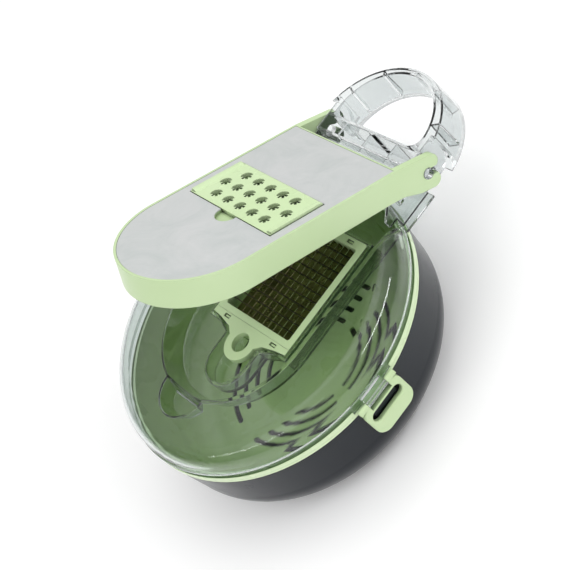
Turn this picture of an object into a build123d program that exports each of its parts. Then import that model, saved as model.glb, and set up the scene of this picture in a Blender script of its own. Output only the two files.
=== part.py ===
from build123d import *
import math
import os

# Round lever chopper: a dark outer bowl, a green drain basket, a clear lid with a sunken well,
# a blade cassette in the well's floor, and a pressing lever hinged on a clear loop handle.
# Millimetres. +Z is up, +Y points to the handle, and the origin is the centre of the foot.

# --- Driving dimensions ---------------------------------------------------------------------
RIM_Z = 65.0             # top edge of the outer bowl above the table
RIM_R = 118.0            # outer radius of the bowl at that edge
RUN = 0.3                # gap between parts that move past each other

# Outer bowl
BOWL_BASE_Z = 1.4
BOWL_WALL = 2.2
BOWL_CORNER_R = 32.7
BOWL_LOW_R = 115.2       # wall radius where the bottom corner starts
FOOT_R = 80.0
FOOT_SEAT = 0.8
CATCH_R = 118.2          # face of the catch lugs
CATCH_HALF = 11.0
CATCH_H = 5.6

# Drain basket
BASKET_WALL = 2.0
BASKET_TOP_R = 114.4
BASKET_CORNER_R = 24.5
BASKET_CORNER_AT = (83.0, 33.0)
FLANGE_R = 118.2
FLANGE_H = 2.5
LIP_H = 6.5              # top of the basket, inside the lid's skirt
SLOT_W = 4.0
SLOT_RADII = (37.5, 47.5, 57.5, 67.5)
SLOT_GAP = 9.5           # half angle of the solid web between two groups of slots
FRONT_WEB_EXTRA = (21.0, 12.0, 6.0, 0.0)
FIRST_WEB_ANGLE = 260.0

# Lid, heights above the bowl's rim
SKIRT_Z = FLANGE_H + RUN
LID_TOP = 29.8
LID_WALL = 2.2
SHOULDER_AT = (102.5, 15.5)
SHOULDER_R = 14.3
SKIRT_R = 117.3

# Well in the lid: it takes the closed lever
WELL_CY = -7.5
WELL_R = 59.5
WELL_FLOOR = 13.7
WELL_TAPER = 20.4
WELL_FRONT_Y = -67.5
FLOOR_T = 2.0
SCOOP_R = 22.0
SCOOP_Y = -69.7
SCOOP_DEPTH = 11.0
SCOOP_TAPER = 24.0

# Neck that carries the handle
NECK_Z = 2.9
NECK_Y = 134.0
FIN_X = 56.0
CHEEK_T = 2.4
CHEEK_TOP = 31.5
HOOK_Y, HOOK_Z = 116.3, 22.5

# Blade cassette
CELLS = 12
GRID_X, GRID_Y = 74.8, 77.0
GRID_CY = 35.0
FRAME_HALF_X = 43.0
FRAME_Y0, FRAME_Y1 = -14.0, 80.0
SEAM_Y = -8.5
UPPER_T = 2.7
MIDDLE_BOTTOM = 7.3
LOWER_BOTTOM = 1.6
BLADE_T = 0.5
BLADE_H = 3.4            # crosswise strips
LOWER_BLADE_H = 5.1      # lengthwise strips
BLADE_BITE = 2.2         # how far a strip's end sits in the frame
RING_Y = -22.0
RING_HOLE_R = 7.4
RING_R = 14.0
CLIP_X = 27.5
KEY_R = 18.5
KEY_Y = -36.0
KEY_FLOOR = 3.0
POCKET_WALL = 2.0
LEDGE = 3.0

# Lever, in its own frame: s runs from the pivot to the tip, h is square to the face plate
PIVOT_Y = 141.3
PIVOT_Z = RIM_Z + 21.7
OPEN_ANGLE = 27.4
LEVER_HALF = 56.7
LEVER_CENTRE_S = 148.8
LEVER_TOP, LEVER_LOW = 14.7, -6.5
LEVER_WALL = 2.5
DECK_TOP, DECK_T = 13.7, 2.0
DECK_REAR_S = 24.4
EAR_IN = 51.2
EAR_R = 12.5
JAW_R = 5.6              # rounded ends of the hook's two jaws
PIN_R = 4.0
PIN_FIT = 0.05
HOOK_SLOT = 5.6
PLATE_T = 0.8
PLATE_REAR_S = 25.8
SEAT_HALF_X = 47.5
SEAT_S0, SEAT_S1 = 78.7, 123.4
THUMB_R = 9.0
HOLE_RIM_R = 4.3         # grating holes
TOOTH_TIP_R = 2.2
TOOTH_TURNS = (-112, -62, -12, 38)
PEG_R = 2.4
PEG_X = 46.0
PEG_S = (70.0, 143.0)
PRESS_TOP, PRESS_T = 5.0, 2.0
POST_TIP = -11.2
POST_W = 5.0
COMB_T = 1.5

# Loop handle, heights above the bowl's rim
HANDLE_LOW, HANDLE_TOP = 6.5, 33.5
LOOP_CY = 146.2
LOOP_R = 58.9
LOOP_TAPER = 5.3
HOLE_CY, HOLE_R = 153.5, 44.0
HOLE_FRONT_Y = 149.2
BAR_FRONT_Y = 134.3
SIDE_X = 50.9
HANDLE_WALL = 2.0
RIB_T = 1.6
RIB_TURNS = (28, 60, 91, 122, 152)
SWEEP_R = 20.0           # room for the lever's ears

# Side latches
LATCH_HALF = 18.0
LATCH_X, LATCH_T = 118.6, 3.6
LATCH_LOW = 38.0
LATCH_AXIS = (120.6, RIM_Z + 3.4)
WINDOW_HALF, WINDOW_Z = 10.0, 62.5
LATCH_SLOT_Z = 55.6
LATCH_SLOT_L, LATCH_SLOT_H = 28.5, 9.0
LATCH_CORNER_R = 9.0
LATCH_PIN_R = 1.5


def up(h):
    """Height above the table of a height above the bowl's rim."""
    return RIM_Z + h


lean = math.radians(OPEN_ANGLE)
LEVER = Plane(
    origin=(0, PIVOT_Y, PIVOT_Z),
    x_dir=(1, 0, 0),
    z_dir=(0, math.sin(lean), math.cos(lean)),
)
SIDE = Plane(
    origin=(0, PIVOT_Y, PIVOT_Z),
    x_dir=(0, -math.cos(lean), math.sin(lean)),
    z_dir=(-1, 0, 0),
)
PITCH_X = GRID_X / CELLS
PITCH_Y = GRID_Y / CELLS
GRID_S = PIVOT_Y - GRID_CY

os.makedirs("parts", exist_ok=True)


def save(builder, name):
    """Label one finished piece and write its STEP file."""
    builder.part.label = name
    export_step(builder.part, f"parts/{name}.step")


# --- Outer bowl and its foot -------------------------------------------------------------------
corner_x = BOWL_LOW_R - BOWL_CORNER_R
corner_z = BOWL_BASE_Z + BOWL_CORNER_R
inner_r = BOWL_CORNER_R - BOWL_WALL

with BuildPart() as outer_bowl:
    with BuildSketch(Plane.XZ):
        with BuildLine():
            Line((0, BOWL_BASE_Z), (corner_x, BOWL_BASE_Z))
            CenterArc((corner_x, corner_z), BOWL_CORNER_R, -90, 90)
            Line((BOWL_LOW_R, corner_z), (RIM_R, RIM_Z))
            Line((RIM_R, RIM_Z), (RIM_R - BOWL_WALL, RIM_Z))
            Line((RIM_R - BOWL_WALL, RIM_Z), (corner_x + inner_r, corner_z))
            CenterArc((corner_x, corner_z), inner_r, 0, -90)
            Line((corner_x, BOWL_BASE_Z + BOWL_WALL), (0, BOWL_BASE_Z + BOWL_WALL))
            Line((0, BOWL_BASE_Z + BOWL_WALL), (0, BOWL_BASE_Z))
        make_face()
    revolve(axis=Axis.Z)
    # catch lugs that stand in the latches' slots
    for side in (-1, 1):
        with Locations((side * (CATCH_R - 1.3), 0, LATCH_SLOT_Z)):
            Box(2.6, 2 * CATCH_HALF, CATCH_H)
    # seat of the foot pad
    with BuildSketch(Plane.XY.offset(BOWL_BASE_Z)):
        Circle(FOOT_R)
    extrude(amount=FOOT_SEAT, mode=Mode.SUBTRACT)
save(outer_bowl, "outer_bowl")

with BuildPart() as foot_pad:
    with BuildSketch():
        Circle(FOOT_R)
    extrude(amount=BOWL_BASE_Z + FOOT_SEAT)
    fillet(foot_pad.edges().group_by(Axis.Z)[0], 0.7)
save(foot_pad, "foot_pad")

# --- Drain basket --------------------------------------------------------------------------------
bx, bz = BASKET_CORNER_AT
b_in = BASKET_CORNER_R - BASKET_WALL

with BuildPart() as drain_basket:
    with BuildSketch(Plane.XZ):
        with BuildLine():
            Line((0, bz - BASKET_CORNER_R), (bx, bz - BASKET_CORNER_R))
            CenterArc((bx, bz), BASKET_CORNER_R, -90, 90)
            Polyline(
                (bx + BASKET_CORNER_R, bz),
                (BASKET_TOP_R, RIM_Z),
                (FLANGE_R, RIM_Z),
                (FLANGE_R, up(FLANGE_H)),
                (BASKET_TOP_R, up(FLANGE_H)),
                (BASKET_TOP_R, up(LIP_H)),
                (BASKET_TOP_R - BASKET_WALL, up(LIP_H)),
                (bx + b_in, bz),
            )
            CenterArc((bx, bz), b_in, 0, -90)
            Polyline((bx, bz - b_in), (0, bz - b_in), (0, bz - BASKET_CORNER_R))
        make_face()
    revolve(axis=Axis.Z)
    # four groups of curved drain slots in the floor
    with BuildSketch(Plane.XY.offset(bz - BASKET_CORNER_R - 1)):
        for group in range(4):
            web = FIRST_WEB_ANGLE + 90 * group
            for radius, extra in zip(SLOT_RADII, FRONT_WEB_EXTRA):
                start = web + SLOT_GAP + (extra if group == 0 else 0)
                end = web + 90 - SLOT_GAP - (extra if group == 3 else 0)
                SlotArc(Edge.make_circle(radius, start_angle=start, end_angle=end), SLOT_W)
    extrude(amount=BASKET_WALL + 2, mode=Mode.SUBTRACT)
    fillet(drain_basket.edges().filter_by(GeomType.CIRCLE).group_by(SortBy.RADIUS)[-1], 0.8)
save(drain_basket, "drain_basket")


# --- Lid -------------------------------------------------------------------------------------------
def well_outline(grow):
    """The well's outline at its floor, grown sideways: round front, flat nose, open at the rear."""
    with Locations((0, WELL_CY)):
        Circle(WELL_R + grow)
    with Locations((0, 65)):
        Rectangle(2 * (WELL_R + grow), 145)
    with Locations((0, WELL_FRONT_Y - grow - 50)):
        Rectangle(200, 100, mode=Mode.SUBTRACT)


def key_outline(grow):
    """The finger well round the cassette's pull ring, flared where it meets the cassette."""
    with Locations((0, KEY_Y)):
        Circle(KEY_R + grow)
    flare = KEY_R + grow
    wide = FRAME_HALF_X - 4 + grow
    Polygon(
        (-flare, KEY_Y), (flare, KEY_Y), (flare, -21),
        (wide, FRAME_Y0 + 1), (-wide, FRAME_Y0 + 1), (-flare, -21),
        align=None,
    )


def scoop_outline(grow):
    """Half-round thumb scoop at the lid's top."""
    with Locations((0, SCOOP_Y)):
        Circle(SCOOP_R + grow)
    with Locations((0, SCOOP_Y + 30)):
        Rectangle(80, 60, mode=Mode.SUBTRACT)


def frame_outline(grow):
    """The cassette's rectangle in plan."""
    with Locations((0, (FRAME_Y0 + FRAME_Y1) / 2)):
        Rectangle(2 * (FRAME_HALF_X + grow), FRAME_Y1 - FRAME_Y0 + 2 * grow)


sx, sz = SHOULDER_AT
shoulder_in = SHOULDER_R - LID_WALL
pocket_low = LOWER_BOTTOM - RUN - 1.4
key_low = KEY_FLOOR - 1.6

# outer shape of the lid as a solid, to trim the well's walls
with BuildPart() as lid_hull:
    with BuildSketch(Plane.XZ):
        with BuildLine():
            Polyline(
                (0, up(pocket_low) - 1), (SKIRT_R - 1, up(pocket_low) - 1),
                (SKIRT_R - 1, up(SKIRT_Z)), (sx + SHOULDER_R, up(sz)),
            )
            CenterArc((sx, up(sz)), SHOULDER_R, 0, 90)
            Polyline((sx, up(LID_TOP)), (0, up(LID_TOP)), (0, up(pocket_low) - 1))
        make_face()
    revolve(axis=Axis.Z)

# walls of the well, the cassette pocket, the finger well and the thumb scoop, still solid
with BuildPart() as lid_core:
    with BuildSketch(Plane.XY.offset(up(WELL_FLOOR - FLOOR_T))):
        well_outline(LID_WALL)
    extrude(amount=LID_TOP - WELL_FLOOR + FLOOR_T, taper=-WELL_TAPER)
    with BuildSketch(Plane.XY.offset(up(pocket_low))):
        frame_outline(RUN + POCKET_WALL)
    extrude(amount=WELL_FLOOR - pocket_low)
    with BuildSketch(Plane.XY.offset(up(key_low))):
        key_outline(POCKET_WALL)
    extrude(amount=WELL_FLOOR - key_low)
    with BuildSketch(Plane.XY.offset(up(LID_TOP))):
        scoop_outline(1.8)
    extrude(amount=-SCOOP_DEPTH - 1.8, taper=SCOOP_TAPER)
    add(lid_hull.part, mode=Mode.INTERSECT)

with BuildPart() as lid_shell:
    with BuildSketch(Plane.XZ):
        with BuildLine():
            Polyline((SKIRT_R - LID_WALL, up(SKIRT_Z)), (SKIRT_R, up(SKIRT_Z)), (sx + SHOULDER_R, up(sz)))
            CenterArc((sx, up(sz)), SHOULDER_R, 0, 90)
            Polyline(
                (sx, up(LID_TOP)), (0, up(LID_TOP)),
                (0, up(sz + shoulder_in)), (sx, up(sz + shoulder_in)),
            )
            CenterArc((sx, up(sz)), shoulder_in, 90, -90)
            Line((sx + shoulder_in, up(sz)), (SKIRT_R - LID_WALL, up(SKIRT_Z)))
        make_face()
    revolve(axis=Axis.Z)
    add(lid_core.part)
    # the well itself, open to the rear
    with BuildSketch(Plane.XY.offset(up(WELL_FLOOR))):
        well_outline(0)
    extrude(amount=LID_TOP - WELL_FLOOR + 3, taper=-WELL_TAPER, mode=Mode.SUBTRACT)
    # thumb scoop in front of the well
    with BuildSketch(Plane.XY.offset(up(LID_TOP + 0.1))):
        scoop_outline(0)
    extrude(amount=-SCOOP_DEPTH, taper=SCOOP_TAPER, mode=Mode.SUBTRACT)
    # cassette pocket with a ledge all round, and the finger well
    with BuildSketch(Plane.XY.offset(up(LOWER_BOTTOM - RUN))):
        frame_outline(RUN)
    extrude(amount=WELL_FLOOR, mode=Mode.SUBTRACT)
    with BuildSketch(Plane.XY.offset(up(pocket_low) - 1)):
        frame_outline(RUN - LEDGE)
    extrude(amount=10, mode=Mode.SUBTRACT)
    with BuildSketch(Plane.XY.offset(up(KEY_FLOOR))):
        key_outline(0)
    extrude(amount=WELL_FLOOR, mode=Mode.SUBTRACT)
    # neck behind the rim: a floor plate with fins, two cheeks and a low rear wall
    with BuildSketch(Plane.XY.offset(up(NECK_Z))):
        with Locations((0, (90 + NECK_Y) / 2)):
            Rectangle(2 * FIN_X, NECK_Y - 90)
        Circle(SKIRT_R - 1.0, mode=Mode.SUBTRACT)
    extrude(amount=FLOOR_T)
    for side in (-1, 1):
        cheek_x = side * (SIDE_X - CHEEK_T / 2)
        with BuildSketch(Plane.YZ.offset(cheek_x)):
            Polygon(
                (98, up(WELL_FLOOR - 1)), (105, up(WELL_FLOOR - 1)), (105, up(NECK_Z)),
                (NECK_Y, up(NECK_Z)), (NECK_Y, up(CHEEK_TOP)), (112, up(CHEEK_TOP)), (98, up(19)),
                align=None,
            )
        extrude(amount=CHEEK_T / 2, both=True)
        with Locations((cheek_x, HOOK_Y, up(HOOK_Z))):
            Box(CHEEK_T + 1, 3.6, 7.6, mode=Mode.SUBTRACT)
    with Locations((0, NECK_Y - 1.1, up((NECK_Z + 24) / 2))):
        Box(2 * 44, 2.2, 24 - NECK_Z)
    # knuckles and pins for the side latches
    lx, lz = LATCH_AXIS
    for side in (-1, 1):
        with BuildSketch(Plane.XZ):
            Polygon(
                (side * 115.6, up(SKIRT_Z)), (side * 118.6, up(SKIRT_Z)), (side * 118.6, lz - 1.9),
                (side * 122.2, lz - 1.9), (side * 122.2, lz + 2.4), (side * 117.4, lz + 5.2),
                (side * 115.6, lz + 5.2), align=None,
            )
        extrude(amount=WINDOW_HALF - RUN, both=True)
        with Locations(Location((side * lx, 0, lz), (90, 0, 0))):
            Cylinder(LATCH_PIN_R, 2 * (LATCH_HALF - 3))
save(lid_shell, "lid_shell")

# --- Loop handle ---------------------------------------------------------------------------------
handle_h = HANDLE_TOP - HANDLE_LOW


def loop_outline(grow):
    """Round back of the loop at its lower edge."""
    with Locations((0, LOOP_CY)):
        Circle(LOOP_R + grow)
    with Locations((0, LOOP_CY - 50)):
        Rectangle(200, 100, mode=Mode.SUBTRACT)


def hole_outline(grow):
    """The D-shaped hand hole."""
    with Locations((0, HOLE_CY)):
        Circle(HOLE_R + grow)
    with Locations((0, HOLE_FRONT_Y - grow - 50)):
        Rectangle(200, 100, mode=Mode.SUBTRACT)


# the channel between the walls, divided by ribs
with BuildPart() as handle_channel:
    with BuildSketch(Plane.XY.offset(up(HANDLE_LOW + HANDLE_WALL))):
        loop_outline(-HANDLE_WALL)
    extrude(amount=handle_h, taper=LOOP_TAPER)
    with BuildSketch(Plane.XY.offset(up(HANDLE_LOW + HANDLE_WALL))):
        with Locations((0, (BAR_FRONT_Y + HOLE_FRONT_Y) / 2)):
            Rectangle(2 * (SIDE_X - HANDLE_WALL), HOLE_FRONT_Y - BAR_FRONT_Y - 2 * HANDLE_WALL)
    extrude(amount=handle_h)
    with BuildSketch(Plane.XY.offset(up(HANDLE_LOW))):
        hole_outline(HANDLE_WALL)
    extrude(amount=handle_h + 5, mode=Mode.SUBTRACT)
    with Locations((0, HOLE_FRONT_Y - HANDLE_WALL / 2, up(20))):
        Box(110, HANDLE_WALL, 60, mode=Mode.SUBTRACT)
    for side in (-1, 1):
        with Locations((side * (SIDE_X - HANDLE_WALL / 2 + 4), PIVOT_Y, up(20))):
            Box(HANDLE_WALL + 8, 2 * (SWEEP_R + 1.5), 60, mode=Mode.SUBTRACT)
    for x in (-27.5, 0, 27.5):
        with Locations((x, (BAR_FRONT_Y + HOLE_FRONT_Y) / 2, up(20))):
            Box(RIB_T, HOLE_FRONT_Y - BAR_FRONT_Y, 60, mode=Mode.SUBTRACT)
    for angle in RIB_TURNS:
        with Locations(Location((0, LOOP_CY, up(20)), (0, 0, angle))):
            Box(140, RIB_T, 60, align=(Align.MIN, Align.CENTER, Align.CENTER), mode=Mode.SUBTRACT)

with BuildPart() as rear_handle:
    with BuildSketch(Plane.XY.offset(up(HANDLE_LOW))):
        loop_outline(0)
    extrude(amount=handle_h, taper=LOOP_TAPER)
    with BuildSketch(Plane.XY.offset(up(HANDLE_LOW))):
        with Locations((0, (BAR_FRONT_Y + LOOP_CY + 4) / 2)):
            Rectangle(2 * SIDE_X, LOOP_CY + 4 - BAR_FRONT_Y)
    extrude(amount=handle_h)
    with BuildSketch(Plane.XY.offset(up(HANDLE_LOW) - 1)) as hole:
        hole_outline(0)
        fillet(hole.vertices(), 9)
    extrude(amount=handle_h + 2, mode=Mode.SUBTRACT)
    add(handle_channel.part, mode=Mode.SUBTRACT)
    # room for the lever's ears on both sides
    for side in (-1, 1):
        with Locations(Location((side * (SIDE_X + 10), PIVOT_Y, PIVOT_Z), (0, 90, 0))):
            Cylinder(SWEEP_R, 20, mode=Mode.SUBTRACT)
    # hinge pins with one flat, and tongues that hook into the lid's cheeks
    for side in (-1, 1):
        with BuildSketch(Plane.YZ.offset(side * (SIDE_X - 1))):
            with Locations((PIVOT_Y, PIVOT_Z)):
                Circle(PIN_R)
            with Locations((PIVOT_Y + PIN_R + 1.7, PIVOT_Z)):
                Rectangle(5, 10, mode=Mode.SUBTRACT)
        extrude(amount=side * (LEVER_HALF + 0.9 - SIDE_X + 1))
        tongue_x = SIDE_X - CHEEK_T - RUN - 1.0
        with Locations((side * tongue_x, (HOOK_Y - 3 + BAR_FRONT_Y + 1) / 2, up(HOOK_Z))):
            Box(2.0, BAR_FRONT_Y + 4 - HOOK_Y, 10)
        with Locations((side * (SIDE_X - CHEEK_T / 2 - 0.4), HOOK_Y, up(HOOK_Z))):
            Box(CHEEK_T + 1.2, 3.2, 7.0)
save(rear_handle, "rear_handle")

# --- Side latches ----------------------------------------------------------------------------------
with BuildPart() as latch_right:
    with BuildSketch(Plane.YZ.offset(LATCH_X)) as latch_face:
        with Locations((0, (LATCH_LOW + lz) / 2)):
            Rectangle(2 * LATCH_HALF, lz - LATCH_LOW)
        fillet(latch_face.vertices().group_by(Axis.Z)[0], LATCH_CORNER_R)
        with Locations((0, LATCH_SLOT_Z)):
            SlotOverall(LATCH_SLOT_L, LATCH_SLOT_H, mode=Mode.SUBTRACT)
    extrude(amount=LATCH_T)
    fillet(latch_right.faces().sort_by(Axis.X)[-1].edges(), 1.3)
    with Locations((LATCH_X + LATCH_T / 2, 0, WINDOW_Z + 10)):
        Box(2 * LATCH_T, 2 * WINDOW_HALF, 20, mode=Mode.SUBTRACT)
    # rounded arm ends round the pins
    arm = LATCH_HALF - WINDOW_HALF
    for side in (-1, 1):
        with Locations(Location((lx, side * (WINDOW_HALF + arm / 2), lz), (90, 0, 0))):
            Cylinder(2.3, arm)
            Cylinder(LATCH_PIN_R + PIN_FIT, arm + 1, mode=Mode.SUBTRACT)
save(latch_right, "latch_right")

with BuildPart() as latch_left:
    mirror(latch_right.part, about=Plane.YZ)
save(latch_left, "latch_left")


# --- Lever -------------------------------------------------------------------------------------------
def lever_outline(inset, rear_s):
    """The lever in plan: straight sides and a half-round tip, from rear_s to the tip."""
    half = LEVER_HALF - inset
    with Locations((0, -LEVER_CENTRE_S)):
        Circle(half)
    with Locations((0, -(rear_s + LEVER_CENTRE_S) / 2)):
        Rectangle(2 * half, LEVER_CENTRE_S - rear_s)


def seat_outline(grow):
    """The grater insert's rectangle."""
    with Locations((0, -(SEAT_S0 + SEAT_S1) / 2)):
        Rectangle(2 * (SEAT_HALF_X + grow), SEAT_S1 - SEAT_S0 + 2 * grow)


with BuildPart() as lever_body:
    with BuildSketch(LEVER.offset(LEVER_LOW)):
        lever_outline(0, DECK_REAR_S)
    extrude(amount=LEVER_TOP - LEVER_LOW)
    with BuildSketch(LEVER.offset(LEVER_LOW - 0.1)):
        lever_outline(LEVER_WALL, -20)
    extrude(amount=DECK_TOP - DECK_T - LEVER_LOW + 0.1, mode=Mode.SUBTRACT)
    # ears: a hook round each pin
    for x in (LEVER_HALF, -EAR_IN):
        with BuildSketch(SIDE.offset(-x)):
            with Locations((-4, EAR_R - JAW_R), (-4, -EAR_R + JAW_R)):
                Circle(JAW_R)
            Polygon(
                (-4, EAR_R), (DECK_REAR_S, LEVER_TOP), (34, LEVER_TOP),
                (34, LEVER_LOW), (22, LEVER_LOW - 0.6), (8, -EAR_R + 1.0), (-4, -EAR_R),
                align=None,
            )
            Circle(PIN_R + PIN_FIT, mode=Mode.SUBTRACT)
            with Locations((-15, 0)):
                Rectangle(30, HOOK_SLOT, mode=Mode.SUBTRACT)
        extrude(amount=LEVER_HALF - EAR_IN)
    # recess that takes the face plate
    with BuildSketch(LEVER.offset(DECK_TOP)):
        lever_outline(1.9, PLATE_REAR_S - 0.2)
    extrude(amount=5, mode=Mode.SUBTRACT)
    # seat of the grater insert
    with BuildSketch(LEVER.offset(DECK_TOP - DECK_T - 2)):
        seat_outline(2.5)
        with Locations((0, -SEAT_S1 - 1)):
            Circle(THUMB_R + 2)
    extrude(amount=2.5)
    with BuildSketch(LEVER.offset(DECK_TOP - DECK_T)):
        seat_outline(0)
        with Locations((0, -SEAT_S1 - 1)):
            Circle(THUMB_R)
    extrude(amount=5, mode=Mode.SUBTRACT)
    with BuildSketch(LEVER.offset(DECK_TOP - DECK_T - 3)):
        seat_outline(-2.5)
    extrude(amount=5, mode=Mode.SUBTRACT)
    # pegs that carry the press block
    peg_low = PRESS_TOP - PRESS_T - 1.5
    with BuildSketch(LEVER.offset(peg_low)):
        with Locations(*[(side * PEG_X, -s) for side in (-1, 1) for s in PEG_S]):
            Circle(PEG_R)
    extrude(amount=DECK_TOP - DECK_T - peg_low + 0.5)
save(lever_body, "lever_body")

with BuildPart() as face_plate:
    with BuildSketch(LEVER.offset(DECK_TOP)):
        lever_outline(2.1, PLATE_REAR_S)
        with Locations((0, -SEAT_S1 - 1)):
            Circle(THUMB_R, mode=Mode.SUBTRACT)
        with Locations((0, -(SEAT_S0 + SEAT_S1) / 2)):
            Rectangle(2 * SEAT_HALF_X + 0.4, SEAT_S1 - SEAT_S0 + 0.4, mode=Mode.SUBTRACT)
    extrude(amount=PLATE_T)
save(face_plate, "face_plate")

# --- Grater insert -----------------------------------------------------------------------------------
seat_cs = (SEAT_S0 + SEAT_S1) / 2
insert_bottom = DECK_TOP - DECK_T + 0.1
insert_top = DECK_TOP + 1.3
rows = [(-12.8, 5), (0, 6), (12.8, 5)]
hole_places = [
    (14.1 * (i - (count - 1) / 2), -(seat_cs + ds)) for ds, count in rows for i in range(count)
]


def tooth_outline(turn):
    """One tooth that points into a grating hole, at an angle round the hole."""
    with Locations(*[Location((x, y, 0), (0, 0, turn)) for x, y in hole_places]):
        Polygon(
            (HOLE_RIM_R + 0.6, -1.3), (HOLE_RIM_R + 0.6, 1.3), (TOOTH_TIP_R, 0),
            align=None, mode=Mode.SUBTRACT,
        )


with BuildPart() as grater_insert:
    with BuildSketch(LEVER.offset(insert_bottom)):
        with Locations((0, -seat_cs)):
            RectangleRounded(2 * SEAT_HALF_X - 0.6, SEAT_S1 - SEAT_S0 - 0.6, 1.5)
    extrude(amount=insert_top - insert_bottom)
    # raised guide rails along both sides
    rail_start = LEVER.from_local_coords((0, -SEAT_S0 - 1.5, 0))
    rail_plane = Plane(rail_start, x_dir=LEVER.x_dir, z_dir=-LEVER.y_dir)
    for side in (-1, 1):
        with BuildSketch(rail_plane):
            Polygon(
                (side * (SEAT_HALF_X - 0.5), insert_top - 0.2),
                (side * (SEAT_HALF_X - 0.9), insert_top + 1.4),
                (side * (SEAT_HALF_X - 3.6), insert_top + 1.4),
                (side * (SEAT_HALF_X - 6.2), insert_top - 0.2),
                align=None,
            )
        extrude(amount=SEAT_S1 - SEAT_S0 - 3)
    # grating holes with four teeth on the side that faces the tip and the right
    with BuildSketch(LEVER.offset(insert_bottom - 1)):
        with Locations(*hole_places):
            Circle(HOLE_RIM_R)
        for turn in TOOTH_TURNS:
            tooth_outline(turn)
    extrude(amount=8, mode=Mode.SUBTRACT)
save(grater_insert, "grater_insert")


# --- Press block and its cleaning comb ---------------------------------------------------------------
def peg_holes():
    """Holes for the lever's four pegs."""
    with Locations(*[(side * PEG_X, -s) for side in (-1, 1) for s in PEG_S]):
        Circle(PEG_R + PIN_FIT, mode=Mode.SUBTRACT)


with BuildPart() as press_grid:
    with BuildSketch(LEVER.offset(PRESS_TOP - PRESS_T)):
        with Locations((0, -GRID_S)):
            RectangleRounded(GRID_X + 5, GRID_Y + 5, 3)
        with Locations(*[(side * (PEG_X - 4), -s) for side in (-1, 1) for s in PEG_S]):
            Rectangle(8, 11)
        with Locations(*[(side * PEG_X, -s) for side in (-1, 1) for s in PEG_S]):
            Circle(5.5)
        peg_holes()
    extrude(amount=PRESS_T)
    with BuildSketch(LEVER.offset(POST_TIP)):
        with Locations((0, -GRID_S)):
            with GridLocations(PITCH_X, PITCH_Y, CELLS, CELLS):
                Rectangle(POST_W, POST_W)
    extrude(amount=PRESS_TOP - PRESS_T - POST_TIP + 0.5)
save(press_grid, "press_grid")

with BuildPart() as cleaning_comb:
    with BuildSketch(LEVER.offset(PRESS_TOP - PRESS_T - RUN - COMB_T)):
        with Locations((0, -GRID_S)):
            RectangleRounded(GRID_X + 4, GRID_Y + 4, 3)
            with GridLocations(PITCH_X, PITCH_Y, CELLS, CELLS):
                Rectangle(POST_W + 0.5, POST_W + 0.5, mode=Mode.SUBTRACT)
    extrude(amount=COMB_T)
save(cleaning_comb, "cleaning_comb")

# --- Blade cassette ----------------------------------------------------------------------------------
middle_top = WELL_FLOOR - UPPER_T
frame_cy = (FRAME_Y0 + FRAME_Y1) / 2
upper_cy = (SEAM_Y + FRAME_Y1) / 2
clip_places = [(side * CLIP_X, y) for side in (-1, 1) for y in (-11.4, 76.8)]


def grid_opening(grow=0.0):
    """The square opening over the blades."""
    with Locations((0, GRID_CY)):
        RectangleRounded(GRID_X + 2 * grow, GRID_Y + 2 * grow, 2.0, mode=Mode.SUBTRACT)


with BuildPart() as blade_frame_upper:
    with BuildSketch(Plane.XY.offset(up(middle_top))):
        with Locations((0, upper_cy)):
            Rectangle(2 * FRAME_HALF_X, FRAME_Y1 - SEAM_Y)
        grid_opening()
        with Locations(*[(x, y) for x, y in clip_places if y > 0]):
            Rectangle(6.5, 2.6, mode=Mode.SUBTRACT)
    extrude(amount=UPPER_T)
    fillet(blade_frame_upper.edges().filter_by(Axis.Z).group_by(Axis.Y)[-1], 2)
save(blade_frame_upper, "blade_frame_upper")

with BuildPart() as blade_frame_middle:
    with BuildSketch(Plane.XY.offset(up(MIDDLE_BOTTOM))):
        with Locations((0, frame_cy)):
            Rectangle(2 * FRAME_HALF_X, FRAME_Y1 - FRAME_Y0)
        grid_opening()
    extrude(amount=middle_top - MIDDLE_BOTTOM)
    # tongue with the pull ring, level with the upper frame
    with BuildSketch(Plane.XY.offset(up(MIDDLE_BOTTOM + 2))):
        Polygon(
            (-FRAME_HALF_X, SEAM_Y - 0.1), (FRAME_HALF_X, SEAM_Y - 0.1), (FRAME_HALF_X, FRAME_Y0 + 1),
            (FRAME_HALF_X - 10, FRAME_Y0), (RING_R + 6, FRAME_Y0 - 2.6), (RING_R - 1, RING_Y),
            (-RING_R + 1, RING_Y), (-RING_R - 6, FRAME_Y0 - 2.6), (-FRAME_HALF_X + 10, FRAME_Y0),
            (-FRAME_HALF_X, FRAME_Y0 + 1), align=None,
        )
        with Locations((0, RING_Y)):
            Circle(RING_R)
        with Locations((0, SEAM_Y - 0.1 + 10)):
            Rectangle(2 * FRAME_HALF_X, 20, mode=Mode.SUBTRACT)
    extrude(amount=WELL_FLOOR - MIDDLE_BOTTOM - 2)
    with BuildSketch(Plane.XY.offset(up(MIDDLE_BOTTOM) - 1)):
        with Locations((0, RING_Y)):
            Circle(RING_HOLE_R)
        with Locations(*clip_places):
            Rectangle(6.5, 2.6)
    extrude(amount=20, mode=Mode.SUBTRACT)
    # notches that hold the ends of the crosswise strips
    with BuildSketch(Plane.XY.offset(up(middle_top - BLADE_H))):
        with Locations((0, GRID_CY)):
            with GridLocations(0, PITCH_Y, 1, CELLS - 1):
                Rectangle(GRID_X + 2 * BLADE_BITE, BLADE_T)
    extrude(amount=BLADE_H, mode=Mode.SUBTRACT)
save(blade_frame_middle, "blade_frame_middle")

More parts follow.
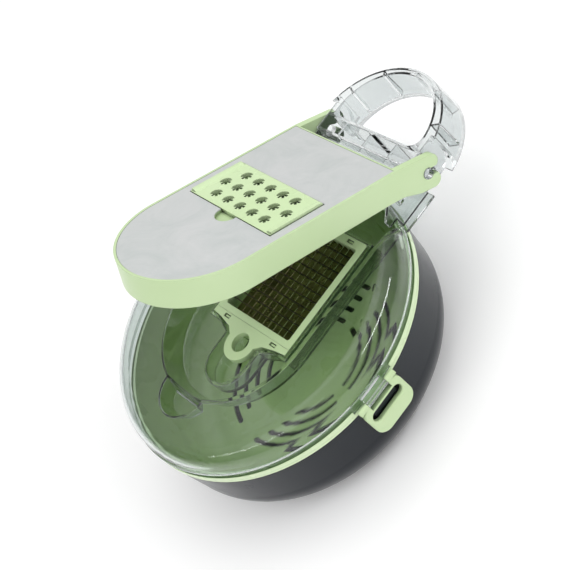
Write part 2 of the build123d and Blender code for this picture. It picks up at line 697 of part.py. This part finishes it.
with BuildPart() as blade_frame_lower:
    with BuildSketch(Plane.XY.offset(up(LOWER_BOTTOM))):
        with Locations((0, frame_cy)):
            Rectangle(2 * FRAME_HALF_X, FRAME_Y1 - FRAME_Y0)
        grid_opening()
    extrude(amount=MIDDLE_BOTTOM - LOWER_BOTTOM)
    # clips that rise through both upper frames
    with BuildSketch(Plane.XY.offset(up(MIDDLE_BOTTOM) - 0.5)):
        with Locations(*clip_places):
            Rectangle(4.6, 1.4)
    extrude(amount=WELL_FLOOR - MIDDLE_BOTTOM - 0.3)
    with BuildSketch(Plane.XY.offset(up(MIDDLE_BOTTOM - LOWER_BLADE_H))):
        with Locations((0, GRID_CY)):
            with GridLocations(PITCH_X, 0, CELLS - 1, 1):
                Rectangle(BLADE_T, GRID_Y + 2 * BLADE_BITE)
    extrude(amount=LOWER_BLADE_H, mode=Mode.SUBTRACT)
save(blade_frame_lower, "blade_frame_lower")

with BuildPart() as crosswise_blades:
    with BuildSketch(Plane.XY.offset(up(middle_top - BLADE_H))):
        with Locations((0, GRID_CY)):
            with GridLocations(0, PITCH_Y, 1, CELLS - 1):
                Rectangle(GRID_X + 2 * BLADE_BITE, BLADE_T)
    extrude(amount=BLADE_H)
save(crosswise_blades, "crosswise_blades")

with BuildPart() as lengthwise_blades:
    with BuildSketch(Plane.XY.offset(up(MIDDLE_BOTTOM - LOWER_BLADE_H))):
        with Locations((0, GRID_CY)):
            with GridLocations(PITCH_X, 0, CELLS - 1, 1):
                Rectangle(BLADE_T, GRID_Y + 2 * BLADE_BITE)
    extrude(amount=LOWER_BLADE_H)
save(lengthwise_blades, "lengthwise_blades")
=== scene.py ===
# %% [markdown]
# # A round lever chopper
# The object is a dark bowl, a green basket, a clear lid with a blade grid in its well, and a
# green lever that presses food through the blades. A finished CAD model holds every shape and
# every joint, so this lesson loads it and never moves it. What is left to make is what the eye
# judges: the finishes, the small moulded details, the light and the view.

import math

import bmesh
import bpy
from mathutils import Matrix, Vector


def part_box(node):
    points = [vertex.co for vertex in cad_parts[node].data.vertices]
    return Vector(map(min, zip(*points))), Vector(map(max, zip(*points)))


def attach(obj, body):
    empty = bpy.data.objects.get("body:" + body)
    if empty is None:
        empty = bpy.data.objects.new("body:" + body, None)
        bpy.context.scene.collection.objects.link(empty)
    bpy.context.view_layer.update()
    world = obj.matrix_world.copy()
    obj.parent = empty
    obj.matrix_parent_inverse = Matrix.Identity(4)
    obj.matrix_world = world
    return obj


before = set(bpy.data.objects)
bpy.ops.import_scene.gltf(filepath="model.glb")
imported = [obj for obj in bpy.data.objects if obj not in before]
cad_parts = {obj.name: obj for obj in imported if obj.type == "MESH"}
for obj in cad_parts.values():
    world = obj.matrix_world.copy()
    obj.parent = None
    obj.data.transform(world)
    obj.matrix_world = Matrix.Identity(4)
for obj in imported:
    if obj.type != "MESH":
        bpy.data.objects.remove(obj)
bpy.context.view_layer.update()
scene = bpy.context.scene
scene.view_settings.view_transform = "Standard"
MM = 0.001
MIDDLE = Vector((0, 0.04, 0.08))

# %% [markdown]
# ## The view
# The camera stands a little over a metre away, to the right and above, and it is rolled so that
# the round bowl hangs diagonally in the picture. A long lens keeps the perspective mild. Its
# three axes are set directly, because a roll is awkward to reach with a track-to constraint.

# %% Camera
CAMERA_AT = (0.7939, -0.0807, 0.7982)
CAMERA_RIGHT = Vector((0.58308, 0.59982, -0.54794))
CAMERA_BACK = Vector((0.73523, -0.10266, 0.67000))
LENS_MM = 97.08

camera_data = bpy.data.cameras.new("camera")
camera_data.lens = LENS_MM
camera_data.sensor_width = 36.0
camera = bpy.data.objects.new("camera", camera_data)
scene.collection.objects.link(camera)
back = CAMERA_BACK.normalized()
right = (CAMERA_RIGHT - back * CAMERA_RIGHT.dot(back)).normalized()
turn = Matrix((right, back.cross(right), back)).transposed()
camera.matrix_world = Matrix.Translation(CAMERA_AT) @ turn.to_4x4()
scene.camera = camera
print("camera at", CAMERA_AT, "lens", LENS_MM)

# %% [markdown]
# ## Floor and light
# Clear plastic shows itself only by what it bends and mirrors. In an all-white room it would
# vanish, so the sky is bright overhead and grey towards the horizon: the lid's edges pick up the
# grey. Two large soft panels do the modelling, as in a small product studio, and two narrow
# strips draw long streaks along the lid's round shoulder. A strip has to stand where the shoulder
# would mirror it into the camera, which is almost behind the camera itself.

# %% Floor
FLOOR_SIZE = 6.0
floor_mesh = bpy.data.meshes.new("floor")
half = FLOOR_SIZE / 2
corners = [(-half, -half, 0), (half, -half, 0), (half, half, 0), (-half, half, 0)]
floor_mesh.from_pydata(corners, [], [(0, 1, 2, 3)])
floor = bpy.data.objects.new("floor", floor_mesh)
scene.collection.objects.link(floor)
floor_finish = bpy.data.materials.new("pale_floor")
floor_finish.use_nodes = True
floor_bsdf = floor_finish.node_tree.nodes["Principled BSDF"]
floor_bsdf.inputs["Base Color"].default_value = (0.95, 0.95, 0.95, 1)
floor_bsdf.inputs["Roughness"].default_value = 0.9
floor_bsdf.inputs["Specular IOR Level"].default_value = 0.1
floor_bsdf.inputs["Emission Color"].default_value = (1, 1, 1, 1)
floor_bsdf.inputs["Emission Strength"].default_value = 0.10
floor_mesh.materials.append(floor_finish)
print("floor", FLOOR_SIZE, "m across")

# %% Sky
SKY_STRENGTH = 0.88
HORIZON_GREY = (0.32, 0.325, 0.33, 1)
sky = bpy.data.worlds.new("studio_sky")
scene.world = sky
sky.use_nodes = True
sky_nodes, sky_links = sky.node_tree.nodes, sky.node_tree.links
direction = sky_nodes.new("ShaderNodeTexCoord")
split = sky_nodes.new("ShaderNodeSeparateXYZ")
ramp = sky_nodes.new("ShaderNodeValToRGB")
ramp.color_ramp.elements[0].position = 0.05
ramp.color_ramp.elements[0].color = HORIZON_GREY
ramp.color_ramp.elements[1].position = 0.75
ramp.color_ramp.elements[1].color = (1.0, 1.0, 1.0, 1)
sky_links.new(direction.outputs["Generated"], split.inputs["Vector"])
sky_links.new(split.outputs["Z"], ramp.inputs["Fac"])
sky_links.new(ramp.outputs["Color"], sky_nodes["Background"].inputs["Color"])
sky_nodes["Background"].inputs["Strength"].default_value = SKY_STRENGTH
print("sky: grey horizon, white top")


# %% Soft panels
def soft_panel(name, at, size, power):
    """A square area light that faces the middle of the object."""
    data = bpy.data.lights.new(name, "AREA")
    data.size = size
    data.energy = power
    lamp = bpy.data.objects.new(name, data)
    scene.collection.objects.link(lamp)
    lamp.location = at
    aim = MIDDLE - Vector(at)
    lamp.rotation_euler = aim.to_track_quat("-Z", "Y").to_euler()
    print("panel", name, "at", at)
    return lamp


soft_panel("key_panel", (0.5, -1.0, 1.5), 1.2, 4.2)
soft_panel("top_panel", (-0.6, 0.6, 1.7), 1.4, 4.2)


# %% Strips
def strip(name, start, end, width, power):
    """A long narrow light between two points, turned towards the middle of the object."""
    start, end = Vector(start), Vector(end)
    middle = (start + end) / 2
    along = (end - start).normalized()
    away = middle - MIDDLE
    away = (away - along * away.dot(along)).normalized()
    data = bpy.data.lights.new(name, "AREA")
    data.shape = "RECTANGLE"
    data.size = (end - start).length
    data.size_y = width
    data.energy = power
    lamp = bpy.data.objects.new(name, data)
    scene.collection.objects.link(lamp)
    facing = Matrix((along, away.cross(along), away)).transposed()
    lamp.matrix_world = Matrix.Translation(middle) @ facing.to_4x4()
    print("strip", name, "is", round(data.size, 2), "m long")


strip("right_strip", (1.05, 0.36, 1.15), (0.42, 1.28, 0.87), 0.12, 5.0)
strip("front_strip", (0.70, -0.92, 1.10), (-0.27, -1.40, 0.73), 0.03, 1.4)

# %% [markdown]
# ## A moulded skin for every plastic
# Injection-moulded plastic is never one flat value. Its tone drifts a little with wall thickness,
# its gloss varies with handling, and a fine spark-eroded grain breaks the reflections up. One
# node group makes all three from the object's own coordinates. Each material then gives it its
# own colours and strengths, so the plastics look related without being the same.


# %% Moulded skin group
def new_group(name, inputs, outputs):
    """An empty node group with the named sockets, and its in and out nodes."""
    group = bpy.data.node_groups.new(name, "ShaderNodeTree")
    for socket, kind, value in inputs:
        made = group.interface.new_socket(socket, in_out="INPUT", socket_type=kind)
        made.default_value = value
    for socket, kind in outputs:
        group.interface.new_socket(socket, in_out="OUTPUT", socket_type=kind)
    return group, group.nodes.new("NodeGroupInput"), group.nodes.new("NodeGroupOutput")


FLOAT, COLOUR = "NodeSocketFloat", "NodeSocketColor"


def noise_node(group, scale_from, detail, factor=1.0):
    """Noise in object space whose scale is a group input times a factor."""
    place = group.nodes.new("ShaderNodeTexCoord")
    times = group.nodes.new("ShaderNodeMath")
    times.operation = "MULTIPLY"
    times.inputs[1].default_value = factor
    group.links.new(scale_from, times.inputs[0])
    noise = group.nodes.new("ShaderNodeTexNoise")
    noise.inputs["Detail"].default_value = detail
    group.links.new(place.outputs["Object"], noise.inputs["Vector"])
    group.links.new(times.outputs[0], noise.inputs["Scale"])
    return noise


def stretch(group, source, low, high):
    """Maps a 0 to 1 value onto the range between two sockets."""
    spread = group.nodes.new("ShaderNodeMapRange")
    spread.inputs["From Min"].default_value = 0.3
    spread.inputs["From Max"].default_value = 0.7
    group.links.new(source, spread.inputs["Value"])
    group.links.new(low, spread.inputs["To Min"])
    group.links.new(high, spread.inputs["To Max"])
    return spread


skin, skin_in, skin_out = new_group(
    "moulded_skin",
    [("Colour", COLOUR, (0.6, 0.6, 0.6, 1)), ("Drift colour", COLOUR, (0.5, 0.5, 0.5, 1)),
     ("Drift scale", FLOAT, 12.0), ("Grain scale", FLOAT, 1800.0),
     ("Gloss low", FLOAT, 0.2), ("Gloss high", FLOAT, 0.35)],
    [("Colour", COLOUR), ("Roughness", FLOAT), ("Height", FLOAT)],
)
drift = noise_node(skin, skin_in.outputs["Drift scale"], 3.0)
handled = noise_node(skin, skin_in.outputs["Drift scale"], 5.0, factor=3.7)
grain = noise_node(skin, skin_in.outputs["Grain scale"], 2.0)
tone = skin.nodes.new("ShaderNodeMix")
tone.data_type = "RGBA"
drift_mask = skin.nodes.new("ShaderNodeMapRange")
drift_mask.inputs["From Min"].default_value = 0.35
drift_mask.inputs["From Max"].default_value = 0.65
skin.links.new(drift.outputs["Fac"], drift_mask.inputs["Value"])
skin.links.new(drift_mask.outputs["Result"], tone.inputs["Factor"])
skin.links.new(skin_in.outputs["Colour"], tone.inputs["A"])
skin.links.new(skin_in.outputs["Drift colour"], tone.inputs["B"])
gloss = stretch(
    skin, handled.outputs["Fac"], skin_in.outputs["Gloss low"], skin_in.outputs["Gloss high"],
)
skin.links.new(tone.outputs["Result"], skin_out.inputs["Colour"])
skin.links.new(gloss.outputs["Result"], skin_out.inputs["Roughness"])
skin.links.new(grain.outputs["Fac"], skin_out.inputs["Height"])
print("group moulded_skin has", len(skin.nodes), "nodes")


# %% [markdown]
# ## Shade in the crevices
# Pale plastic in bright light still goes deep and dark inside a narrow hole or under a rib. A
# second group measures how open the sky is over each point, with short feeler rays, and pulls
# the colour down where it isn't.

# %% Crevice group
crevice, crevice_in, crevice_out = new_group(
    "crevice_shade",
    [("Colour", COLOUR, (0.6, 0.6, 0.6, 1)), ("Painted shade colour", COLOUR, (0.1, 0.1, 0.1, 1)),
     ("Reach", FLOAT, 0.02), ("Closed", FLOAT, 0.0), ("Open", FLOAT, 0.8)],
    [("Colour", COLOUR)],
)
feeler = crevice.nodes.new("ShaderNodeAmbientOcclusion")
feeler.samples = 6
open_sky = crevice.nodes.new("ShaderNodeMapRange")
open_sky.interpolation_type = "SMOOTHSTEP"
deepen = crevice.nodes.new("ShaderNodeMix")
deepen.data_type = "RGBA"
crevice.links.new(crevice_in.outputs["Reach"], feeler.inputs["Distance"])
crevice.links.new(feeler.outputs["AO"], open_sky.inputs["Value"])
crevice.links.new(crevice_in.outputs["Closed"], open_sky.inputs["From Min"])
crevice.links.new(crevice_in.outputs["Open"], open_sky.inputs["From Max"])
crevice.links.new(open_sky.outputs["Result"], deepen.inputs["Factor"])
crevice.links.new(crevice_in.outputs["Painted shade colour"], deepen.inputs["A"])
crevice.links.new(crevice_in.outputs["Colour"], deepen.inputs["B"])
crevice.links.new(deepen.outputs["Result"], crevice_out.inputs["Colour"])
print("group crevice_shade has", len(crevice.nodes), "nodes")


# %% Plastic from the groups
def srgb(*channels):
    """A colour given as a paint chart gives it, 0 to 255, as the renderer wants it."""
    out = []
    for c in channels:
        c = c / 255
        out.append(c / 12.92 if c <= 0.04045 else ((c + 0.055) / 1.055) ** 2.4)
    return (*out, 1.0)


OPAQUE_EDGE_R = 0.7 * MM
CLEAR_EDGE_R = 1.0 * MM


def rounded_edges(nodes, links, relief, radius):
    """Lets light run round a piece's sharp edges, as it does on a real moulded edge."""
    edge = nodes.new("ShaderNodeBevel")
    edge.samples = 6
    edge.inputs["Radius"].default_value = radius
    links.new(edge.outputs["Normal"], relief.inputs["Normal"])


def plastic(name, colour, drift_to, gloss_range, deep, reach, openness=(0.0, 0.8),
            grain_scale=1800.0, bump=0.03, coat=0.0, shine=0.5):
    """An opaque moulded plastic. Its skin, and the shade painted into its crevices, come from the shared
    groups.
    """
    finish = bpy.data.materials.new(name)
    finish.use_nodes = True
    nodes, links = finish.node_tree.nodes, finish.node_tree.links
    bsdf = nodes["Principled BSDF"]
    group = nodes.new("ShaderNodeGroup")
    group.node_tree = skin
    group.inputs["Colour"].default_value = colour
    group.inputs["Drift colour"].default_value = drift_to
    group.inputs["Grain scale"].default_value = grain_scale
    group.inputs["Gloss low"].default_value = gloss_range[0]
    group.inputs["Gloss high"].default_value = gloss_range[1]
    relief = nodes.new("ShaderNodeBump")
    relief.inputs["Strength"].default_value = bump
    relief.inputs["Distance"].default_value = 0.0002
    # Painted shade: the crevice group pulls the base colour towards its shade colour where short feeler
    # rays find the sky closed.
    shade = nodes.new("ShaderNodeGroup")
    shade.node_tree = crevice
    shade.inputs["Painted shade colour"].default_value = deep
    shade.inputs["Reach"].default_value = reach
    shade.inputs["Closed"].default_value = openness[0]
    shade.inputs["Open"].default_value = openness[1]
    links.new(group.outputs["Colour"], shade.inputs["Colour"])
    links.new(shade.outputs["Colour"], bsdf.inputs["Base Color"])
    links.new(group.outputs["Roughness"], bsdf.inputs["Roughness"])
    links.new(group.outputs["Height"], relief.inputs["Height"])
    links.new(relief.outputs["Normal"], bsdf.inputs["Normal"])
    rounded_edges(nodes, links, relief, OPAQUE_EDGE_R)
    bsdf.inputs["Coat Weight"].default_value = coat
    bsdf.inputs["Coat Roughness"].default_value = 0.06
    bsdf.inputs["Specular IOR Level"].default_value = shine
    print("plastic", name)
    return finish


def wear(finish, *nodes):
    """Gives a finish to CAD pieces, in place of the plain one they came with."""
    for node in nodes:
        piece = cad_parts[node]
        piece.data.materials.clear()
        piece.data.materials.append(finish)


# %% [markdown]
# ## The green plastics
# The lever, the latches and the cassette are one soft leaf green, the grater insert is a paler
# lemon green, and the basket is the deepest. The basket's rim gets a paler copy of the basket
# green, painted light on the same plastic. Each green drifts towards a slightly lighter one, and
# each has its own colour of painted shade for its crevices: the insert's holes are painted nearly
# black, while the wide basket is only painted darker towards its corners.

# %% Green finishes
SHADOW_GREEN = srgb(34, 48, 22)
leaf = plastic(
    "leaf_green", srgb(198, 222, 170), srgb(204, 226, 178), (0.28, 0.40),
    deep=srgb(72, 92, 58), reach=14 * MM,
)
lemon = plastic(
    "lemon_green", srgb(208, 231, 180), srgb(214, 235, 189), (0.24, 0.34),
    SHADOW_GREEN, 8 * MM, openness=(0.36, 0.85),
)
basket_green = plastic(
    "basket_green", srgb(176, 202, 136), srgb(184, 208, 146), (0.22, 0.34),
    deep=srgb(74, 108, 56), reach=60 * MM, openness=(0.0, 0.95),
)
# Painted light: a paler copy of the basket green for the lit top of its rim.
rim_green_painted_light = plastic(
    "rim_green_painted_light", srgb(214, 234, 190), srgb(220, 237, 198), (0.22, 0.34),
    deep=srgb(150, 180, 120), reach=2 * MM,
)
wear(leaf, "lever_body", "latch_right", "latch_left", "press_grid")
wear(leaf, "blade_frame_upper", "blade_frame_middle", "blade_frame_lower")
wear(lemon, "grater_insert", "cleaning_comb")
wear(basket_green, "drain_basket")

# %% [markdown]
# ## The dark bowl
# The bowl is gloss charcoal. A gloss plastic is a dark body under a clean mirror layer, so the
# body is nearly black with little shine of its own, and a thin coat adds the sharper part of the
# reflections. The disc let into its base is matt rubber.

# %% Bowl finishes
charcoal = plastic(
    "gloss_charcoal", srgb(27, 33, 39), srgb(22, 27, 34), (0.18, 0.28),
    deep=srgb(10, 12, 15), reach=10 * MM, bump=0.02, coat=0.08, shine=0.22,
)
rubber = plastic(
    "foot_rubber", srgb(30, 30, 31), srgb(36, 36, 37), (0.7, 0.85),
    deep=srgb(12, 12, 12), reach=4 * MM, grain_scale=900.0, bump=0.2,
)
wear(charcoal, "outer_bowl")
wear(rubber, "foot_pad")


# %% [markdown]
# ## Clear plastic
# The lid and the loop handle are clear polystyrene: thin, stiff and as glossy as glass. It is
# made as a real solid that bends light, not as a see-through colour, because the grey lines
# along every edge come from bending. Very shallow waves in the surface, from the flow of the
# plastic in the mould, make the reflections run.

# %% Clear finish
def clear_plastic(name, tint, rough_range, wave, bending):
    """Solid clear plastic with a wavy, lightly handled surface. Its shadow is light, not black."""
    finish = bpy.data.materials.new(name)
    finish.use_nodes = True
    nodes, links = finish.node_tree.nodes, finish.node_tree.links
    bsdf = nodes["Principled BSDF"]
    group = nodes.new("ShaderNodeGroup")
    group.node_tree = skin
    group.inputs["Colour"].default_value = tint
    group.inputs["Drift colour"].default_value = tint
    group.inputs["Grain scale"].default_value = 26.0
    group.inputs["Gloss low"].default_value = rough_range[0]
    group.inputs["Gloss high"].default_value = rough_range[1]
    relief = nodes.new("ShaderNodeBump")
    relief.inputs["Strength"].default_value = wave
    relief.inputs["Distance"].default_value = 0.002
    links.new(group.outputs["Colour"], bsdf.inputs["Base Color"])
    links.new(group.outputs["Roughness"], bsdf.inputs["Roughness"])
    links.new(group.outputs["Height"], relief.inputs["Height"])
    links.new(relief.outputs["Normal"], bsdf.inputs["Normal"])
    bsdf.inputs["Transmission Weight"].default_value = 1.0
    bsdf.inputs["IOR"].default_value = bending
    rounded_edges(nodes, links, relief, CLEAR_EDGE_R)
    path = nodes.new("ShaderNodeLightPath")
    let_through = nodes.new("ShaderNodeBsdfTransparent")
    let_through.inputs["Color"].default_value = tint
    choose = nodes.new("ShaderNodeMixShader")
    links.new(path.outputs["Is Shadow Ray"], choose.inputs["Fac"])
    links.new(bsdf.outputs["BSDF"], choose.inputs[1])
    links.new(let_through.outputs["BSDF"], choose.inputs[2])
    links.new(choose.outputs["Shader"], nodes["Material Output"].inputs["Surface"])
    print("clear plastic", name)
    return finish


clear = clear_plastic("clear_lid_plastic", srgb(224, 230, 228), (0.0, 0.03), 0.05, 1.45)
clear_loop = clear_plastic("clear_handle_plastic", srgb(232, 235, 235), (0.0, 0.06), 0.04, 1.22)
wear(clear, "lid_shell")
wear(clear_loop, "rear_handle")

# %% [markdown]
# ## Steel
# The lever's face is a thin steel sheet with a cloudy satin finish: soft patches a few
# centimetres across, over a very fine scratch. It is made from two noises, one broad for the
# patches and one drawn out along the sheet for the scratch. The blades use the same group with
# darker colours: the lengthwise strips show their tall sides, which mirror the green, so their
# olive colour is a painted reflection, and the crosswise strips show little but their edges, so
# they get a darker colour still, a painted shade.

# %% Steel group
cloud, cloud_in, cloud_out = new_group(
    "cloudy_steel",
    [("Light", COLOUR, (0.8, 0.8, 0.8, 1)), ("Dark", COLOUR, (0.6, 0.6, 0.6, 1)),
     ("Cloud scale", FLOAT, 30.0), ("Gloss low", FLOAT, 0.3), ("Gloss high", FLOAT, 0.45)],
    [("Colour", COLOUR), ("Roughness", FLOAT), ("Height", FLOAT)],
)
patches = noise_node(cloud, cloud_in.outputs["Cloud scale"], 6.0)
patches.inputs["Roughness"].default_value = 0.62
patches.inputs["Distortion"].default_value = 0.6
place = cloud.nodes.new("ShaderNodeTexCoord")
drawn = cloud.nodes.new("ShaderNodeMapping")
drawn.inputs["Scale"].default_value = (2400.0, 60.0, 60.0)
scratch = cloud.nodes.new("ShaderNodeTexNoise")
scratch.inputs["Scale"].default_value = 1.0
cloud.links.new(place.outputs["Object"], drawn.inputs["Vector"])
cloud.links.new(drawn.outputs["Vector"], scratch.inputs["Vector"])
shade = cloud.nodes.new("ShaderNodeMix")
shade.data_type = "RGBA"
patch_mask = cloud.nodes.new("ShaderNodeMapRange")
patch_mask.inputs["From Min"].default_value = 0.35
patch_mask.inputs["From Max"].default_value = 0.68
cloud.links.new(patches.outputs["Fac"], patch_mask.inputs["Value"])
cloud.links.new(patch_mask.outputs["Result"], shade.inputs["Factor"])
cloud.links.new(cloud_in.outputs["Light"], shade.inputs["A"])
cloud.links.new(cloud_in.outputs["Dark"], shade.inputs["B"])
satin = stretch(
    cloud, patches.outputs["Fac"], cloud_in.outputs["Gloss low"], cloud_in.outputs["Gloss high"],
)
cloud.links.new(shade.outputs["Result"], cloud_out.inputs["Colour"])
cloud.links.new(satin.outputs["Result"], cloud_out.inputs["Roughness"])
cloud.links.new(scratch.outputs["Fac"], cloud_out.inputs["Height"])
print("group cloudy_steel has", len(cloud.nodes), "nodes")


# %% Steel finishes
def steel(name, light, dark, gloss_range, metallic, scratch_depth):
    """Sheet steel from the cloudy group."""
    finish = bpy.data.materials.new(name)
    finish.use_nodes = True
    nodes, links = finish.node_tree.nodes, finish.node_tree.links
    bsdf = nodes["Principled BSDF"]
    group = nodes.new("ShaderNodeGroup")
    group.node_tree = cloud
    group.inputs["Light"].default_value = light
    group.inputs["Dark"].default_value = dark
    group.inputs["Gloss low"].default_value = gloss_range[0]
    group.inputs["Gloss high"].default_value = gloss_range[1]
    relief = nodes.new("ShaderNodeBump")
    relief.inputs["Strength"].default_value = scratch_depth
    relief.inputs["Distance"].default_value = 0.0001
    links.new(group.outputs["Colour"], bsdf.inputs["Base Color"])
    links.new(group.outputs["Roughness"], bsdf.inputs["Roughness"])
    links.new(group.outputs["Height"], relief.inputs["Height"])
    links.new(relief.outputs["Normal"], bsdf.inputs["Normal"])
    bsdf.inputs["Metallic"].default_value = metallic
    print("steel", name)
    return finish


face_steel = steel("cloudy_face_steel", srgb(226, 228, 227), srgb(208, 213, 211), (0.38, 0.52), 0.45, 0.05)
# Painted reflection: the lengthwise blades' olive colour stands for the green they mirror.
lengthwise_steel_painted_reflection = steel("lengthwise_steel_painted_reflection", srgb(132, 122, 92), srgb(88, 80, 58), (0.2, 0.35), 1.0, 0.05)
# Painted shade: the crosswise blades are darker because little but their edges shows.
crosswise_steel_painted_shade = steel("crosswise_blade_painted_shade", srgb(70, 64, 48), srgb(46, 42, 30), (0.3, 0.45), 1.0, 0.05)
wear(face_steel, "face_plate")
wear(lengthwise_steel_painted_reflection, "lengthwise_blades")
wear(crosswise_steel_painted_shade, "crosswise_blades")

# %% [markdown]
# ## The basket's rim, painted lighter
# The basket's flange rises round the lid's skirt as a thin collar, given a paler copy of the
# basket green as painted light. It is a strip of the same section all the way, broken where the
# two latches and the neck of the handle pass, so one function sweeps the section along an arc and
# a loop calls it for each stretch. The flange itself is part of the CAD basket, so it only gets
# the painted lighter finish on its faces.

# %% Paint the flange
def paint_above(node, height, finish):
    """A second finish for the faces of a CAD piece that lie wholly above a height."""
    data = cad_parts[node].data
    data.materials.append(finish)
    painted = 0
    for face in data.polygons:
        if all(data.vertices[v].co.z > height for v in face.vertices):
            face.material_index = len(data.materials) - 1
            painted += 1
    print(painted, "faces of", node, "painted")


# Painted light: the basket's faces above the bowl's rim get the paler rim green.
paint_above("drain_basket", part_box("outer_bowl")[1][2] - 0.1 * MM, rim_green_painted_light)

# %% Rim collar
COLLAR_INNER = 117.6 * MM
COLLAR_HEIGHT = 3.4 * MM
COLLAR_SOFT = 0.25 * MM
LATCH_GAP = 9.4
NECK_GAP = 29.6
STEP_DEGREES = 1.5
FLANGE_THICKNESS = 2.5 * MM
COLLAR_LIFT = 0.05 * MM
bowl_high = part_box("outer_bowl")[1]
collar_outer = bowl_high[0]
collar_foot = bowl_high[2] + FLANGE_THICKNESS + COLLAR_LIFT


def round_strip(name, section, start, end, finish, body):
    """A section of (radius, height) points swept round the Z axis, between two angles from +X."""
    mesh = bmesh.new()
    count = max(2, round((end - start) / STEP_DEGREES))
    rings = []
    for i in range(count + 1):
        turn = math.radians(start + (end - start) * i / count)
        rings.append([mesh.verts.new((r * math.cos(turn), r * math.sin(turn), z)) for r, z in section])
    for near, far in zip(rings, rings[1:]):
        for k in range(len(section)):
            after = (k + 1) % len(section)
            mesh.faces.new((near[k], near[after], far[after], far[k]))
    mesh.faces.new(rings[0])
    mesh.faces.new(list(reversed(rings[-1])))
    bmesh.ops.recalc_face_normals(mesh, faces=mesh.faces)
    data = bpy.data.meshes.new(name)
    mesh.to_mesh(data)
    mesh.free()
    data.materials.append(finish)
    piece = bpy.data.objects.new(name, data)
    scene.collection.objects.link(piece)
    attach(piece, body)


stretches = {
    "rim_collar_front": (180 + LATCH_GAP, 360 - LATCH_GAP),
    "rim_collar_rear_right": (LATCH_GAP, 90 - NECK_GAP),
    "rim_collar_rear_left": (90 + NECK_GAP, 180 - LATCH_GAP),
}
collar_top = collar_foot + COLLAR_HEIGHT
collar_section = [
    (COLLAR_INNER, collar_foot), (collar_outer, collar_foot),
    (collar_outer, collar_top - COLLAR_SOFT), (collar_outer - COLLAR_SOFT, collar_top),
    (COLLAR_INNER + COLLAR_SOFT, collar_top), (COLLAR_INNER, collar_top - COLLAR_SOFT),
]
# The collar pieces wear the same painted lighter rim green.
for name, (start, end) in stretches.items():
    round_strip(name, collar_section, start, end, rim_green_painted_light, "basket")
print("collar pieces:", len(stretches))

# %% [markdown]
# ## The lid's bead
# A fine half-round bead runs round the foot of the lid's shoulder and stops at the neck. In
# clear plastic it draws a thin line of its own, which tells the eye where the skirt ends.

# %% Lid bead
BEAD_FOOT_R = 117.4 * MM
BEAD_PROUD = 0.7 * MM
BEAD_HALF = 1.0 * MM
BEAD_ABOVE_RIM = 10.2 * MM
BEAD_POINTS = 7
bead_mid = bowl_high[2] + BEAD_ABOVE_RIM
bead_section = []
for i in range(BEAD_POINTS):
    swing = math.pi * (i / (BEAD_POINTS - 1) - 0.5)
    radius = BEAD_FOOT_R + BEAD_PROUD * math.cos(swing)
    bead_section.append((radius, bead_mid + BEAD_HALF * math.sin(swing)))
round_strip("lid_bead", bead_section, 90 + NECK_GAP, 450 - NECK_GAP, clear, "lid")
print("bead at", round(bead_mid, 4), "m")
